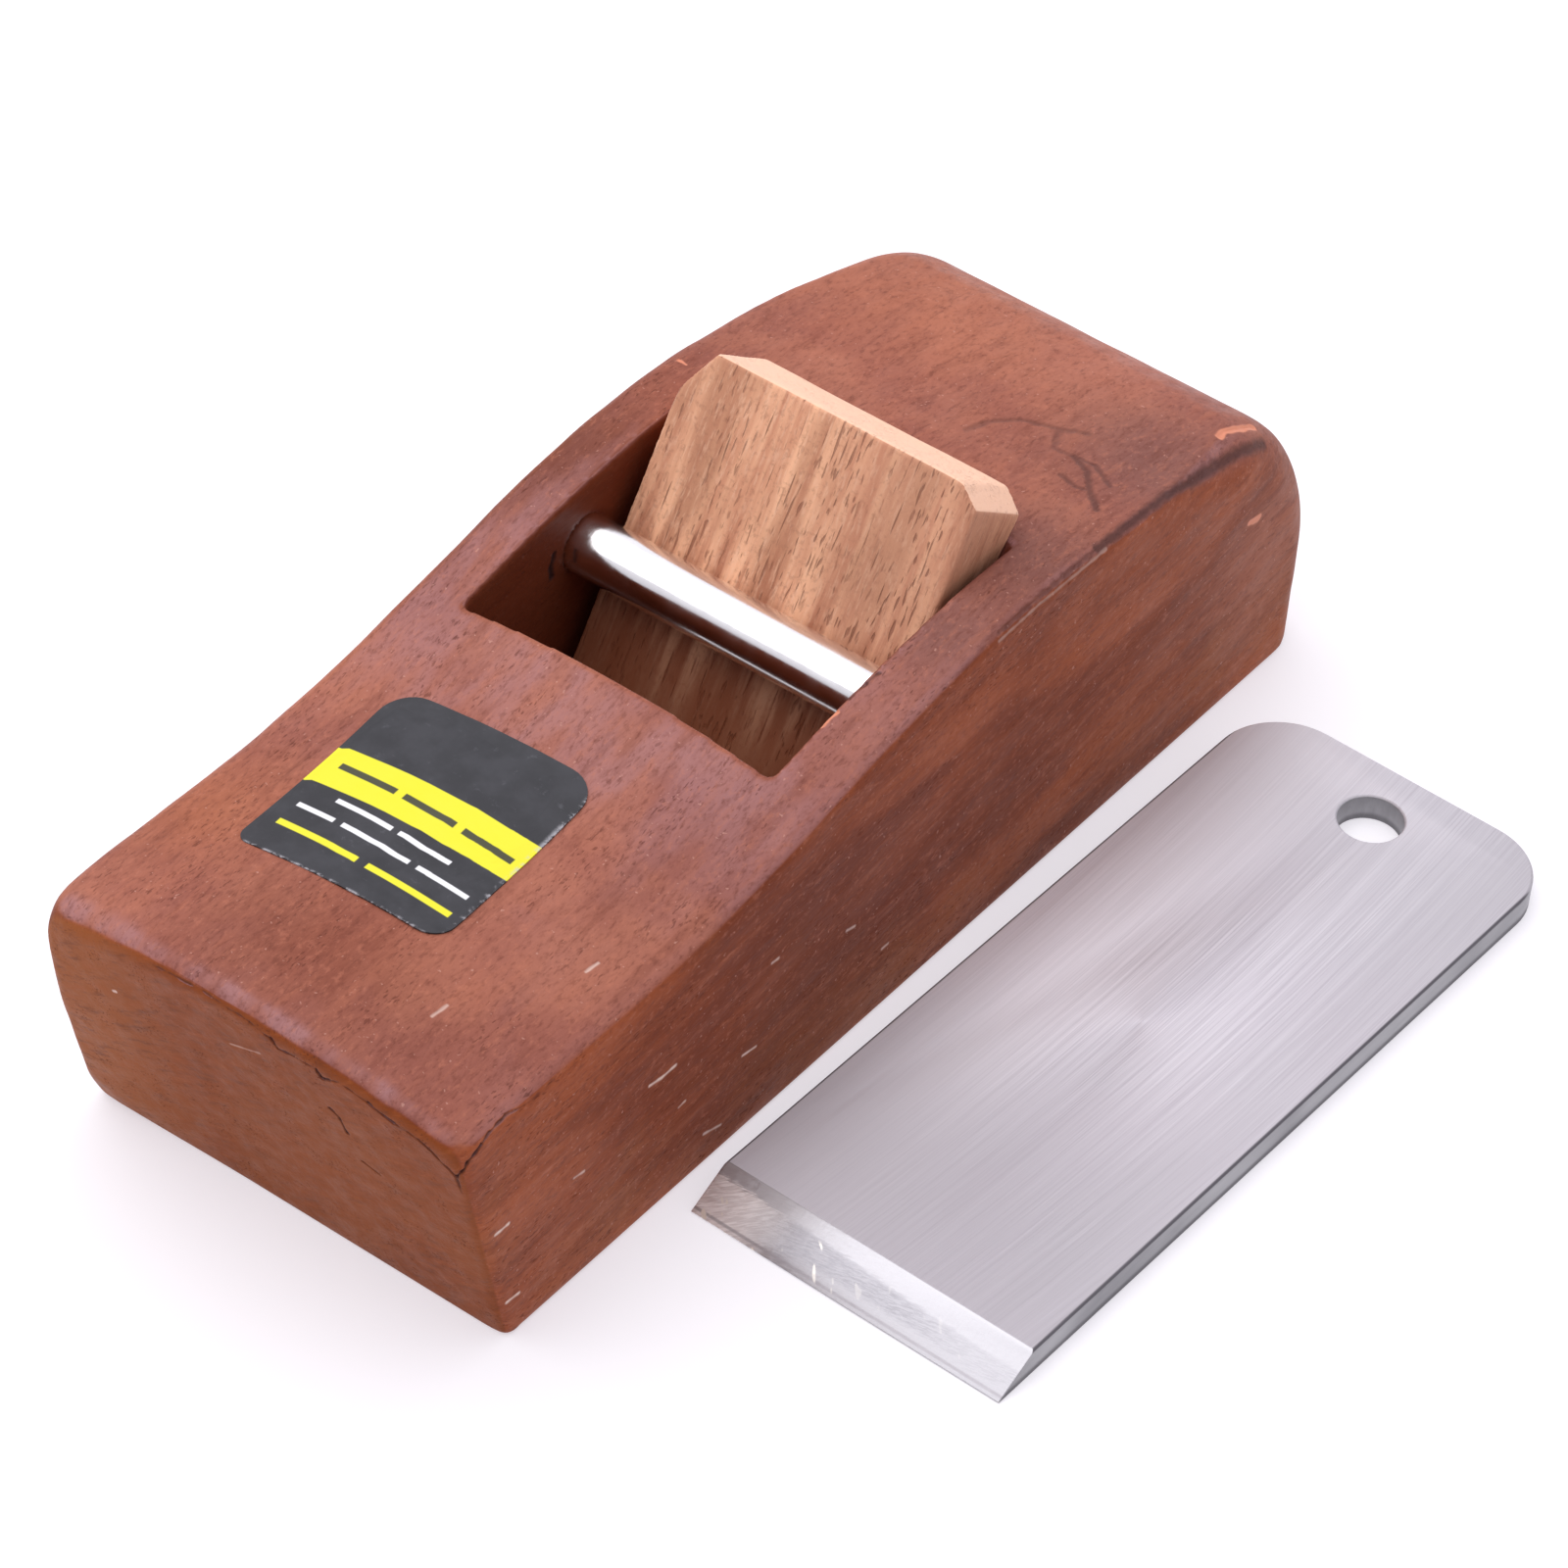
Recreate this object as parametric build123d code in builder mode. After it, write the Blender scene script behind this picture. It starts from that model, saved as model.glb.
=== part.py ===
from build123d import *
import math
import os

# A small wooden push plane: a one-piece body, a steel cross pin, a wooden wedge, a loose iron
# and a label. Millimetres. The origin is the centre of the sole, +Y runs from toe to heel,
# and +Z is up. The iron lies beside the body on the surface that the sole stands on.

# Body
SOLE_LENGTH = 113.5
BODY_WIDTH = 42.5
TOE_RAKE = 16.0  # degrees that the toe leans forward of upright
TOE_CORNER = 2.0  # radius of the toe's two corner edges
HEEL_ROUND = 20.0  # radius of the heel's crest, seen from the side
HEEL_ROUND_Z = 10.6  # height where the crest leaves the upright heel
HEEL_SLOPE = 17.0  # degrees that the back falls where it runs into the crest
HEEL_CORNER = 5.0  # rounding of the heel's corners and of the crest's ends
ARRIS = 1.3  # rounding of the back's long edges
BLANK_HEIGHT = 45.0  # height of the squared block that the back is shaped from

# The back of the body, as (distance from the toe's foot, height at the sides, crown at the middle)
BACK = [
    (-14.0, 25.9, 2.9),
    (2.0, 26.1, 2.8),
    (13.0, 26.0, 2.7),
    (22.0, 26.4, 2.6),
    (31.0, 27.6, 2.5),
    (40.0, 29.4, 2.4),
    (50.0, 31.5, 2.0),
    (59.0, 32.9, 1.2),
    (67.0, 33.4, 0.8),
    (76.0, 32.8, 0.5),
    (86.0, 31.4, 0.3),
    (97.0, 29.8, 0.2),
    (118.0, 26.8, 0.2),
]
SKIRT = 26.0  # half width of the lofted back, wider than the body

# Throat
THROAT_WIDTH = 31.4
THROAT_FRONT = 38.4  # from the toe's foot to the throat's upright front wall
BED_FOOT = 43.3  # from the toe's foot to where the bed meets the sole
BED_ANGLE = 50.0

# Cross pin, placed by its distance along the bed and out from it
PIN_RADIUS = 2.7
PIN_ALONG_BED = 27.6
PIN_OFF_BED = 8.35
PIN_LEFT_END = -21.1
PIN_RIGHT_END = 18.9
PIN_CHAMFER = 0.4

# Wedge, lying on the bed with its front face against the pin
WEDGE_TAPER = 10.0
WEDGE_GAP = 0.1  # clearance on the bed
WEDGE_LEFT = -14.4
WEDGE_RIGHT = 15.1
WEDGE_TIP_ALONG_BED = 5.9
WEDGE_TIP_THICKNESS = 1.5
WEDGE_LENGTH = 41.5  # measured along its front face
WEDGE_END_LEAN = 5.5  # degrees that its end leans from square to the bed
WEDGE_RIGHT_CUT = (2.2, 1.7)  # the top corner that is cut off, across and down
WEDGE_LEFT_CUT = (2.4, 4.4)
WEDGE_LEFT_EASE = 4.0  # rounding where the left cut meets the side

# Iron
IRON_LENGTH = 80.0
IRON_WIDTH = 31.0
IRON_THICKNESS = 2.65
IRON_BEVEL = 30.0
IRON_EDGE = 0.12  # thickness left at the cutting edge
IRON_CORNER = 6.5
IRON_HOLE_RADIUS = 2.9
IRON_HOLE_INSET = 6.5
IRON_CENTRE = (40.14, 3.29)
IRON_TURN = -1.35  # degrees, seen from above
IRON_CHAMFER = 0.2

# Label on the toe's back
LABEL_WIDTH = 20.1
LABEL_LENGTH = 21.4
LABEL_CORNER = 3.0
LABEL_CENTRE = (-3.6, 18.0)  # across, and from the toe's foot
LABEL_TURN = 2.0
LABEL_THICKNESS = 0.15
LABEL_GLUE = 0.02

toe_y = -SOLE_LENGTH / 2
heel_y = SOLE_LENGTH / 2
half_width = BODY_WIDTH / 2
bed_foot_y = toe_y + BED_FOOT
bed = math.radians(BED_ANGLE)
front = math.radians(BED_ANGLE + WEDGE_TAPER)


def off_bed(along, out):
    """A point in the side view, as (y, z): so far up the bed, and so far out from it."""
    y = bed_foot_y + along * math.cos(bed) - out * math.sin(bed)
    z = along * math.sin(bed) + out * math.cos(bed)
    return (y, z)


# The crowned back, lofted wider than the body and down to below the sole. It isn't a piece
# itself: the body and the label are both cut to it.
with BuildPart() as back:
    for from_toe, side_height, crown in BACK:
        edge_height = side_height - crown * ((SKIRT / half_width) ** 2 - 1)
        with BuildSketch(Plane.XZ.offset(-(toe_y + from_toe))):
            with BuildLine():
                ThreePointArc((-SKIRT, edge_height), (0, side_height + crown), (SKIRT, edge_height))
                Polyline((SKIRT, edge_height), (SKIRT, -1), (-SKIRT, -1), (-SKIRT, edge_height))
            make_face()
    loft()

# Body: a squared block with a raked toe and a rounded heel, shaped to the crowned back,
# with the throat cut through it and a hole for the pin drilled from the left side
pin_y, pin_z = off_bed(PIN_ALONG_BED, PIN_OFF_BED)

# The heel's rounding, as a long block that the body is cut to. It isn't a piece itself either.
with BuildPart() as heel_block:
    with BuildSketch(Plane.YZ.offset(-half_width)):
        with BuildLine():
            heel = Line((heel_y, -HEEL_ROUND), (heel_y, HEEL_ROUND_Z))
            crest = CenterArc((heel_y - HEEL_ROUND, HEEL_ROUND_Z), HEEL_ROUND, 0, 90 - HEEL_SLOPE)
            slope = PolarLine(crest @ 1, 2 * SOLE_LENGTH, direction=crest % 1)
            Polyline(slope @ 1, ((slope @ 1).X, -HEEL_ROUND), heel @ 0)
        make_face()
    extrude(amount=BODY_WIDTH)
    side_edges = heel_block.edges().filter_by(Axis.X, reverse=True)
    fillet(side_edges.filter_by(lambda edge: edge.center().Z > -HEEL_ROUND / 2), HEEL_CORNER)

with BuildPart() as body:
    with BuildSketch(Plane.YZ.offset(-half_width)):
        with BuildLine():
            toe_top_y = toe_y - BLANK_HEIGHT * math.tan(math.radians(TOE_RAKE))
            Polyline(
                (toe_y, 0),
                (heel_y + HEEL_ROUND, 0),
                (heel_y + HEEL_ROUND, BLANK_HEIGHT),
                (toe_top_y, BLANK_HEIGHT),
                close=True,
            )
        make_face()
    extrude(amount=BODY_WIDTH)
    toe_edges = body.faces().sort_by(Axis.Y)[0].edges().filter_by(Axis.X, reverse=True)
    fillet(toe_edges, TOE_CORNER)

    add(back.part, mode=Mode.INTERSECT)
    long_edges = body.edges().filter_by(lambda edge: edge.length > SOLE_LENGTH)
    fillet(long_edges.group_by(Axis.Z)[-1], ARRIS)
    add(heel_block.part, mode=Mode.INTERSECT)

    with BuildSketch(Plane.YZ.offset(-THROAT_WIDTH / 2)):
        throat_front_y = toe_y + THROAT_FRONT
        throat_rear = off_bed(BLANK_HEIGHT / math.sin(bed), 0)
        with BuildLine():
            Polyline(
                (throat_front_y, -1),
                (throat_front_y, BLANK_HEIGHT),
                throat_rear,
                off_bed(0, 0),
                (bed_foot_y, -1),
                close=True,
            )
        make_face()
    extrude(amount=THROAT_WIDTH, mode=Mode.SUBTRACT)

    with BuildSketch(Plane.YZ.offset(-half_width)):
        with Locations((pin_y, pin_z)):
            Circle(PIN_RADIUS)
    extrude(amount=half_width + PIN_RIGHT_END, mode=Mode.SUBTRACT)

# Cross pin: a plain steel rod with eased ends
with BuildPart() as cross_pin:
    with BuildSketch(Plane.YZ.offset(PIN_LEFT_END)):
        with Locations((pin_y, pin_z)):
            Circle(PIN_RADIUS)
    extrude(amount=PIN_RIGHT_END - PIN_LEFT_END)
    chamfer(cross_pin.edges().filter_by(GeomType.CIRCLE), PIN_CHAMFER)

# Wedge: its side view first, and then its outline seen along its end
tip_back = off_bed(WEDGE_TIP_ALONG_BED, WEDGE_GAP)
tip_front = off_bed(WEDGE_TIP_ALONG_BED, WEDGE_GAP + WEDGE_TIP_THICKNESS)
end_along_bed = WEDGE_TIP_ALONG_BED + WEDGE_LENGTH * math.cos(front - bed)
end_thickness = WEDGE_TIP_THICKNESS + WEDGE_LENGTH * math.sin(front - bed)
end_run = end_thickness * math.tan(math.radians(WEDGE_END_LEAN))
end_front = off_bed(end_along_bed, WEDGE_GAP + end_thickness)
end_back = off_bed(end_along_bed + end_run, WEDGE_GAP)

with BuildPart() as wedge:
    with BuildSketch(Plane.YZ.offset(WEDGE_LEFT)):
        with BuildLine():
            Polyline(tip_back, tip_front, end_front, end_back, close=True)
        make_face()
    extrude(amount=WEDGE_RIGHT - WEDGE_LEFT)

    end_lean = math.radians(BED_ANGLE + WEDGE_END_LEAN)
    end_plane = Plane(
        origin=(0, end_front[0], end_front[1]),
        x_dir=(1, 0, 0),
        z_dir=(0, -math.sin(end_lean), math.cos(end_lean)),
    )
    left_across, left_down = WEDGE_LEFT_CUT
    right_across, right_down = WEDGE_RIGHT_CUT
    with BuildSketch(end_plane) as wedge_outline:
        with BuildLine():
            Polyline(
                (WEDGE_LEFT, -left_down),
                (WEDGE_LEFT + left_across, 0),
                (WEDGE_RIGHT - right_across, 0),
                (WEDGE_RIGHT, -right_down),
                (WEDGE_RIGHT, -2 * WEDGE_LENGTH),
                (WEDGE_LEFT, -2 * WEDGE_LENGTH),
                close=True,
            )
        make_face()
        left_corners = wedge_outline.vertices().group_by(Axis.X)[0]
        fillet(left_corners.sort_by(Axis.Y)[-1], WEDGE_LEFT_EASE)
    extrude(amount=WEDGE_LENGTH, both=True, mode=Mode.INTERSECT)

# Iron: a flat steel plate, bevelled across its toe end, with rounded corners and a hanging hole
iron_plane = Plane(origin=(IRON_CENTRE[0], IRON_CENTRE[1], 0)).rotated((0, 0, IRON_TURN))

with BuildPart() as iron:
    with BuildSketch(iron_plane):
        plate = Rectangle(IRON_WIDTH, IRON_LENGTH)
        fillet(plate.vertices().group_by(Axis.Y)[-1], IRON_CORNER)
        with Locations((0, IRON_LENGTH / 2 - IRON_HOLE_INSET)):
            Circle(IRON_HOLE_RADIUS, mode=Mode.SUBTRACT)
    extrude(amount=IRON_THICKNESS)
    top_edges = iron.faces().sort_by(Axis.Z)[-1].edges()
    chamfer(top_edges.sort_by(Axis.Y)[1:], IRON_CHAMFER)

    bevel_run = (IRON_THICKNESS - IRON_EDGE) / math.tan(math.radians(IRON_BEVEL))
    bevel_plane = Plane(
        origin=iron_plane.from_local_coords((-IRON_WIDTH, -IRON_LENGTH / 2, 0)),
        x_dir=iron_plane.y_dir,
        z_dir=iron_plane.x_dir,
    )
    with BuildSketch(bevel_plane):
        with BuildLine():
            Polyline(
                (0, IRON_EDGE),
                (bevel_run, IRON_THICKNESS),
                (bevel_run, 2 * IRON_THICKNESS),
                (-IRON_THICKNESS, 2 * IRON_THICKNESS),
                (-IRON_THICKNESS, IRON_EDGE),
                close=True,
            )
        make_face()
    extrude(amount=2 * IRON_WIDTH, mode=Mode.SUBTRACT)

# Label: a thin rounded sheet that follows the crowned back
label_plane = Plane(origin=(LABEL_CENTRE[0], toe_y + LABEL_CENTRE[1], 0)).rotated((0, 0, LABEL_TURN))

with BuildPart() as label:
    add(back.part.moved(Location((0, 0, LABEL_GLUE + LABEL_THICKNESS))))
    add(back.part.moved(Location((0, 0, LABEL_GLUE))), mode=Mode.SUBTRACT)
    with BuildSketch(label_plane):
        RectangleRounded(LABEL_WIDTH, LABEL_LENGTH, LABEL_CORNER)
    extrude(amount=BLANK_HEIGHT, mode=Mode.INTERSECT)

os.makedirs("parts", exist_ok=True)

body.part.label = "body"
export_step(body.part, "parts/body.step")

cross_pin.part.label = "cross_pin"
export_step(cross_pin.part, "parts/cross_pin.step")

wedge.part.label = "wedge"
export_step(wedge.part, "parts/wedge.step")

iron.part.label = "iron"
export_step(iron.part, "parts/iron.step")

label.part.label = "label"
export_step(label.part, "parts/label.step")
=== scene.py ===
import math

import bmesh
import bpy
import numpy as np
from mathutils import Matrix, Vector
from mathutils.bvhtree import BVHTree
from mathutils.kdtree import KDTree


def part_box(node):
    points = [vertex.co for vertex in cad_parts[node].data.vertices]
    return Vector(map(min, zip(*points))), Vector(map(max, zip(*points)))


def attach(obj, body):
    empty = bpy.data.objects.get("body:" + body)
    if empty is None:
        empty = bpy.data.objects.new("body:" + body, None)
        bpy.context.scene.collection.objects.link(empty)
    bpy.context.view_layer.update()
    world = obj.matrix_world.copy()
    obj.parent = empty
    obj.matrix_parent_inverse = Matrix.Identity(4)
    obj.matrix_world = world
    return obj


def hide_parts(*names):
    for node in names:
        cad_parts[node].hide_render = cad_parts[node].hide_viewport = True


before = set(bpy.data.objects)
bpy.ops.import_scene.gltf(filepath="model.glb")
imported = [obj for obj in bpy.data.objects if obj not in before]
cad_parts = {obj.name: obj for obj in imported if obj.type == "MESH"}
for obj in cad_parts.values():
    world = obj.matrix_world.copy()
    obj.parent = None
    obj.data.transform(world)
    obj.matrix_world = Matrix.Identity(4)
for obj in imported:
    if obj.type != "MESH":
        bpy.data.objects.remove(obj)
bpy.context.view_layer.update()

# A small wooden push plane with its iron taken out. The origin is the centre of the sole, +Y runs
# from toe to heel, and +Z is up. Shapes and patterns are worked out in millimetres, and MM turns
# them into metres. Angles are degrees, except TOE_RAKE.

MM = 0.001
scene = bpy.context.scene

SOLE_HALF_LENGTH = 56.75
TOE_RAKE = math.radians(16)
BODY_HALF_WIDTH = 21.25
BED_ANGLE = 50
WEDGE_TAPER = 10
PIN_RADIUS = 2.7
PIN_EASE = 0.4
TOE_CORNER = 2.0
TOE_SIDE_HEIGHT = 25.9  # the back's height at its sides by the toe, and how much higher its middle is
TOE_CROWN = 2.9
THROAT_HALF_WIDTH = 15.7
THROAT_FRONT = -18.35
IRON_CENTRE = (40.14, 3.29)
IRON_TURN = -1.35
IRON_HALF_WIDTH = 15.5
IRON_HALF_LENGTH = 40
IRON_BEVEL_RUN = 4.38
LABEL_TURN = 2
LABEL_WIDTH = 20.1
LABEL_LENGTH = 21.4


# ---------------------------------------------------------------- shapes


def points_of(mesh):
    """The mesh's points in millimetres, one row each."""
    flat = np.zeros(len(mesh.vertices) * 3, np.float32)
    mesh.vertices.foreach_get("co", flat)
    return flat.reshape(-1, 3).astype(float) / MM


def place_points(mesh, points):
    mesh.vertices.foreach_set("co", (points * MM).astype(np.float32).ravel())
    mesh.update()


def normals_of(mesh):
    flat = np.zeros(len(mesh.vertices) * 3, np.float32)
    mesh.vertex_normals.foreach_get("vector", flat)
    return flat.reshape(-1, 3).astype(float)


def edges_of(mesh):
    flat = np.zeros(len(mesh.edges) * 2, np.int32)
    mesh.edges.foreach_get("vertices", flat)
    return flat.reshape(-1, 2)


def smoothed(points, edges, weight, rounds):
    """Each point moves part of the way to its neighbours' middle, again and again."""
    count = len(points)
    weight = weight * np.ones(count)
    moving = weight > 0.01
    edges = edges[moving[edges].any(1)]
    first, second = edges[:, 0], edges[:, 1]
    neighbours = np.bincount(first, minlength=count) + np.bincount(second, minlength=count)
    share = (0.5 * np.clip(weight, 0, 1) * moving)[:, None]
    for _ in range(rounds):
        total = np.zeros_like(points)
        for axis in range(3):
            total[:, axis] = np.bincount(first, points[second, axis], count)
            total[:, axis] += np.bincount(second, points[first, axis], count)
        middle = total / np.maximum(neighbours, 1)[:, None]
        points = points + share * (middle - points)
    return points


def waves(points, length, seed, count=14):
    """Soft random hills from -1 to 1, about length millimetres from top to top."""
    chance = np.random.default_rng(seed)
    hills = np.zeros(len(points))
    for _ in range(count):
        direction = chance.normal(size=3)
        direction /= np.linalg.norm(direction)
        pace = 2 * math.pi / (length * chance.uniform(0.7, 1.5))
        hills += np.sin(points @ direction * pace + chance.uniform(0, 2 * math.pi))
    return np.clip(hills / math.sqrt(count), -1, 1)


def step(value, low, high):
    """0 up to low, 1 from high, and smooth between them. low may be the larger."""
    t = np.clip((value - low) / (high - low), 0, 1)
    return t * t * (3 - 2 * t)


def copy_of(node, name):
    """A new piece with a CAD node's shape, its points welded."""
    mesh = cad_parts[node].data.copy()
    mesh.materials.clear()
    mesh.name = name
    for layer in list(mesh.attributes):
        if layer.name == "custom_normal":
            mesh.attributes.remove(layer)
    work = bmesh.new()
    work.from_mesh(mesh)
    bmesh.ops.remove_doubles(work, verts=work.verts, dist=0.002 * MM)
    work.to_mesh(mesh)
    work.free()
    piece = bpy.data.objects.new(name, mesh)
    scene.collection.objects.link(piece)
    return piece


def apply_modifiers(piece):
    """Swaps the piece's mesh for the one that its modifiers make."""
    bpy.context.view_layer.update()
    graph = bpy.context.evaluated_depsgraph_get()
    made = bpy.data.meshes.new_from_object(piece.evaluated_get(graph))
    piece.modifiers.clear()
    old = piece.data
    piece.data = made
    bpy.data.meshes.remove(old)
    made.name = piece.name
    return piece


def make_even(piece, size):
    """Gives the piece an even skin of small faces, size millimetres each."""
    remesh = piece.modifiers.new("even", "REMESH")
    remesh.mode = "VOXEL"
    remesh.voxel_size = size * MM
    remesh.adaptivity = 0
    return apply_modifiers(piece)


def shade_smooth(piece, sharp_angle=180):
    """Smooth shading, except across edges that turn by more than sharp_angle degrees."""
    piece.data.polygons.foreach_set("use_smooth", [True] * len(piece.data.polygons))
    if sharp_angle < 180:
        piece.data.set_sharp_from_angle(angle=math.radians(sharp_angle))


def way_along(line, spacing):
    """Points along a line of corners, spacing millimetres apart."""
    line = np.array(line, float)
    way = [line[0]]
    for start, end in zip(line[:-1], line[1:]):
        parts = max(1, int(np.linalg.norm(end - start) / spacing))
        for i in range(1, parts + 1):
            way.append(start + (end - start) * i / parts)
    return np.array(way)


def onto_surface(ways, points, normals):
    """Moves every point of some ways straight onto a surface, given its points and normals."""
    tree = KDTree(len(points))
    for i, point in enumerate(points):
        tree.insert(point, i)
    tree.balance()
    moved = []
    for way in ways:
        nearest = [tree.find(spot)[1] for spot in way]
        above = ((way - points[nearest]) * normals[nearest]).sum(1)
        moved.append(way - normals[nearest] * above[:, None])
    return moved


def distance_to(way, points, reach):
    """Each point's distance from a way, in millimetres, up to reach."""
    far = np.full(len(points), float(reach))
    low, high = way.min(0) - reach, way.max(0) + reach
    near = np.flatnonzero(((points > low) & (points < high)).all(1))
    for spot in way:
        gap = np.linalg.norm(points[near] - spot, axis=1)
        far[near] = np.minimum(far[near], gap)
    return far


def refine(piece, near):
    """Divides the edges whose two ends are both near a mark."""
    work = bmesh.new()
    work.from_mesh(piece.data)
    work.verts.ensure_lookup_table()
    chosen = [edge for edge in work.edges if near[edge.verts[0].index] and near[edge.verts[1].index]]
    bmesh.ops.subdivide_edges(work, edges=chosen, cuts=1, use_grid_fill=True)
    work.to_mesh(piece.data)
    work.free()


def store(piece, name, values):
    """Gives each point of the piece a value, for its material to read."""
    layer = piece.data.attributes.new(name, "FLOAT", "POINT")
    layer.data.foreach_set("value", values.astype(np.float32))


# ---------------------------------------------------------------- materials


def new_material(name):
    """A material with one shader, and its node tree."""
    material = bpy.data.materials.new(name)
    material.use_nodes = True
    tree = material.node_tree
    tree.nodes.clear()
    output = tree.nodes.new("ShaderNodeOutputMaterial")
    shader = tree.nodes.new("ShaderNodeBsdfPrincipled")
    tree.links.new(shader.outputs["BSDF"], output.inputs["Surface"])
    return material, tree, shader


def put(tree, socket, value):
    """Links a socket to another socket, or sets its value."""
    if isinstance(value, bpy.types.NodeSocket):
        tree.links.new(value, socket)
    else:
        socket.default_value = value


def place(tree, turn=(0, 0, 0), size=(1, 1, 1), shift=(0, 0, 0)):
    """The place on the object in millimetres, turned by degrees, and stretched by size."""
    coordinates = tree.nodes.new("ShaderNodeTexCoord")
    mapping = tree.nodes.new("ShaderNodeMapping")
    mapping.vector_type = "TEXTURE"
    mapping.inputs["Location"].default_value = [value * MM for value in shift]
    mapping.inputs["Rotation"].default_value = [math.radians(angle) for angle in turn]
    mapping.inputs["Scale"].default_value = [value * MM for value in size]
    tree.links.new(coordinates.outputs["Object"], mapping.inputs["Vector"])
    return mapping.outputs["Vector"]


def noise(tree, where, scale, detail=2, rough=0.5, bend=0):
    """Soft noise about 0.5, with scale hills to the millimetre."""
    node = tree.nodes.new("ShaderNodeTexNoise")
    put(tree, node.inputs["Vector"], where)
    put(tree, node.inputs["Scale"], scale)
    put(tree, node.inputs["Detail"], detail)
    put(tree, node.inputs["Roughness"], rough)
    put(tree, node.inputs["Distortion"], bend)
    return node.outputs["Fac"]


def ramp(tree, value, low, high, start=0.0, end=1.0):
    """value from low to high becomes start to end, smoothly, and stays there outside."""
    node = tree.nodes.new("ShaderNodeMapRange")
    node.interpolation_type = "SMOOTHSTEP"
    put(tree, node.inputs["Value"], value)
    put(tree, node.inputs["From Min"], low)
    put(tree, node.inputs["From Max"], high)
    put(tree, node.inputs["To Min"], start)
    put(tree, node.inputs["To Max"], end)
    return node.outputs["Result"]


def calculate(tree, kind, first, second=0.0):
    node = tree.nodes.new("ShaderNodeMath")
    node.operation = kind
    put(tree, node.inputs[0], first)
    put(tree, node.inputs[1], second)
    return node.outputs["Value"]


def blend(tree, share, first, second):
    """Colour first where share is 0, and second where it is 1."""
    node = tree.nodes.new("ShaderNodeMix")
    node.data_type = "RGBA"
    put(tree, node.inputs["Factor"], share)
    put(tree, node.inputs["A"], first if isinstance(first, bpy.types.NodeSocket) else (*first, 1))
    put(tree, node.inputs["B"], second if isinstance(second, bpy.types.NodeSocket) else (*second, 1))
    return node.outputs["Result"]


def facing(tree, direction):
    """How far the surface faces a direction, from -1 to 1."""
    geometry = tree.nodes.new("ShaderNodeNewGeometry")
    node = tree.nodes.new("ShaderNodeVectorMath")
    node.operation = "DOT_PRODUCT"
    tree.links.new(geometry.outputs["Normal"], node.inputs[0])
    node.inputs[1].default_value = direction
    return node.outputs["Value"]


def part_of_place(tree, where, axis):
    node = tree.nodes.new("ShaderNodeSeparateXYZ")
    tree.links.new(where, node.inputs["Vector"])
    return node.outputs[axis]


def near_spot(tree, where, centre, radius, strength=1.0):
    """strength at the centre, in millimetres, fading to nothing at the radius."""
    node = tree.nodes.new("ShaderNodeVectorMath")
    node.operation = "DISTANCE"
    tree.links.new(where, node.inputs[0])
    node.inputs[1].default_value = centre
    return ramp(tree, node.outputs["Value"], radius, 0, 0.0, strength)


def stored(tree, name):
    """The value that each point of the mesh holds under a name."""
    node = tree.nodes.new("ShaderNodeAttribute")
    node.attribute_name = name
    return node.outputs["Fac"]


def bump(tree, height, depth, under=None):
    """A bump depth millimetres high where height is 1."""
    node = tree.nodes.new("ShaderNodeBump")
    put(tree, node.inputs["Height"], height)
    node.inputs["Strength"].default_value = 1.0
    node.inputs["Distance"].default_value = depth * MM
    if under is not None:
        tree.links.new(under, node.inputs["Normal"])
    return node.outputs["Normal"]


# ---------------------------------------------------------------- wooden body

# Dark marks on the body, in millimetres: the line, its half width, its depth and how dark it is
TORN_TOE_EDGE = [
    ([(-9.0, -64.4, 27.2), (-4.0, -64.5, 27.8), (0.5, -64.6, 27.6), (3.0, -64.5, 27.1)], 0.07, 0.06, 0.45),
    ([(3.0, -64.5, 27.1), (3.6, -64.3, 26.3), (5.2, -64.4, 26.6)], 0.14, 0.3, 0.8),
    ([(5.2, -64.4, 26.6), (7.4, -64.4, 26.6)], 0.08, 0.08, 0.5),
    ([(7.4, -64.4, 26.6), (7.8, -64.2, 25.8), (8.6, -64.3, 26.1)], 0.17, 0.35, 0.9),
    ([(8.6, -64.3, 26.1), (9.6, -64.4, 26.6), (12.4, -64.3, 26.1)], 0.08, 0.1, 0.5),
    ([(12.4, -64.3, 26.1), (14.7, -64.1, 25.4)], 0.16, 0.3, 0.75),
    ([(14.7, -64.1, 25.4), (17.0, -64.0, 25.0)], 0.08, 0.08, 0.5),
    ([(17.0, -64.0, 25.0), (18.3, -63.7, 24.3), (20.2, -63.0, 22.6)], 0.13, 0.2, 0.75),
]
TOE_CORNER_SPLIT = [
    ([(20.2, -63.0, 22.5), (21.0, -62.7, 24.4), (21.2, -61.3, 25.3)], 0.15, 0.3, 0.85),
    ([(21.2, -61.3, 25.3), (21.1, -60.2, 25.7), (21.0, -58.2, 25.9)], 0.1, 0.12, 0.6),
    ([(21.0, -58.2, 25.9), (21.2, -55.5, 25.4), (21.2, -52.5, 25.6)], 0.08, 0.06, 0.35),
    ([(20.2, -63.0, 22.5), (20.3, -62.3, 20.5)], 0.12, 0.12, 0.6),
]
TOE_CHECKS = [
    ([(7.7, -62.9, 21.5), (8.5, -62.8, 21.0), (8.9, -62.2, 19.1)], 0.14, 0.3, 1.0),
    ([(9.7, -61.3, 15.7), (11.4, -61.1, 15.2)], 0.09, 0.1, 0.6),
]
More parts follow.
